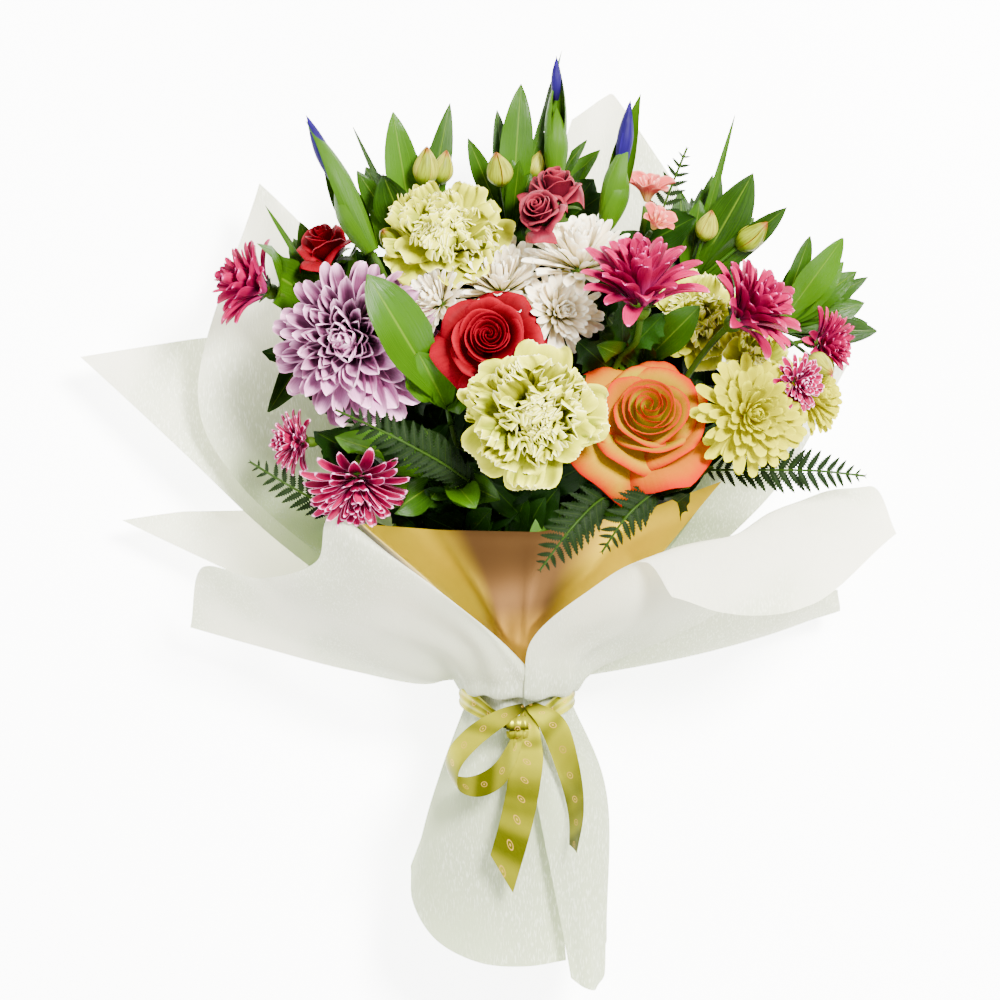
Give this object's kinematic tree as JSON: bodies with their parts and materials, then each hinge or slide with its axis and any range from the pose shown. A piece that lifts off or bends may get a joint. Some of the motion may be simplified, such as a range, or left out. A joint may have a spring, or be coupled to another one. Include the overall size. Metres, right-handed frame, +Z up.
{
  "type": "mixed flower bouquet",
  "caption": "Hand-tied bouquet of mixed roses, carnations, chrysanthemums, irises and greenery in layered paper and gold foil, tied with a satin ribbon.",
  "frame": {"origin": "on the resting surface, under the middle of the bouquet's footprint", "axes": "+X to the right and +Y from the stems to the blooms as the bouquet is looked at from the front, +Z up from the surface that it lies on"},
  "size_m": [0.485, 0.5482, 0.2113],
  "materials": {
    "rose_orange_petals": "soft matte petals, yellow at the base and orange-red at the edges",
    "rose_red_petals": "velvety petals with dark folds",
    "rose_coral_petals": "soft matte petals",
    "carnation_petals": "soft ruffled petals, pale yellow-green",
    "chrysanthemum_lavender_petals": "matte strap petals with pale tips",
    "chrysanthemum_white_petals": "matte ivory strap petals, greenish middle",
    "chrysanthemum_magenta_petals": "velvety strap petals with pale edges",
    "chrysanthemum_yellow_petals": "matte strap petals",
    "alstroemeria_petals": "thin pink petals with a yellow throat",
    "iris_petals": "violet-blue petals, rolled",
    "iris_sheath_green": "smooth waxy green with fine veins",
    "leaf_green": "glossy leaf with a paler midrib",
    "fern_green": "matte fern leaflets",
    "stem_green": "smooth round stalk",
    "gold_foil_paper": "satin metallic foil on paper, softly creased",
    "paper_pale": "translucent embossed florist's paper",
    "string_hemp": "twisted natural string",
    "ribbon_satin": null
  },
  "bodies": {
    "root": {"alstroemeria_pale": "alstroemeria_petals", "alstroemeria_pink": "alstroemeria_petals", "carnation_back": "carnation_petals", "carnation_front": "carnation_petals", "carnation_lower_right": "carnation_petals", "carnation_right": "carnation_petals", "chrysanthemum_lavender": "chrysanthemum_lavender_petals", "chrysanthemum_magenta_far_right": "chrysanthemum_magenta_petals", "chrysanthemum_magenta_left": "chrysanthemum_magenta_petals", "chrysanthemum_magenta_low": "chrysanthemum_magenta_petals", "chrysanthemum_magenta_low_left": "chrysanthemum_magenta_petals", "chrysanthemum_magenta_low_right": "chrysanthemum_magenta_petals", "chrysanthemum_magenta_middle": "chrysanthemum_magenta_petals", "chrysanthemum_magenta_right": "chrysanthemum_magenta_petals", "chrysanthemum_white_left": "chrysanthemum_white_petals", "chrysanthemum_white_middle": "chrysanthemum_white_petals", "chrysanthemum_white_right": "chrysanthemum_white_petals", "chrysanthemum_white_top": "chrysanthemum_white_petals", "chrysanthemum_yellow_back": "chrysanthemum_yellow_petals", "chrysanthemum_yellow_front": "chrysanthemum_yellow_petals", "fern_bottom": "fern_green", "fern_bottom_right": "fern_green", "fern_left": "fern_green", "fern_low_left": "fern_green", "fern_right": "fern_green", "fern_top_right": "fern_green", "iris_flower_left": "iris_petals", "iris_flower_middle": "iris_petals", "iris_flower_right": "iris_petals", "iris_sheath_left": "iris_sheath_green", "iris_sheath_middle": "iris_sheath_green", "iris_sheath_right": "iris_sheath_green", "leaves_centre": "leaf_green", "leaves_front": "leaf_green", "leaves_front_right": "leaf_green", "leaves_left": "leaf_green", "leaves_right": "leaf_green", "leaves_right_centre": "leaf_green", "leaves_top_centre": "leaf_green", "leaves_top_left": "leaf_green", "leaves_top_right": "leaf_green", "ribbon": "ribbon_satin", "rose_coral_back": "rose_coral_petals", "rose_coral_front": "rose_coral_petals", "rose_orange": "rose_orange_petals", "rose_red": "rose_red_petals", "rose_red_back": "rose_red_petals", "stems": "stem_green", "string": "string_hemp", "wrap_back": "paper_pale", "wrap_front_left": "paper_pale", "wrap_front_right": "paper_pale", "wrap_gold": "gold_foil_paper", "wrap_inner_left": "paper_pale", "wrap_inner_right": "paper_pale", "wrap_lower_left": "paper_pale", "wrap_lower_right": "paper_pale"}
  },
  "joints": []
}
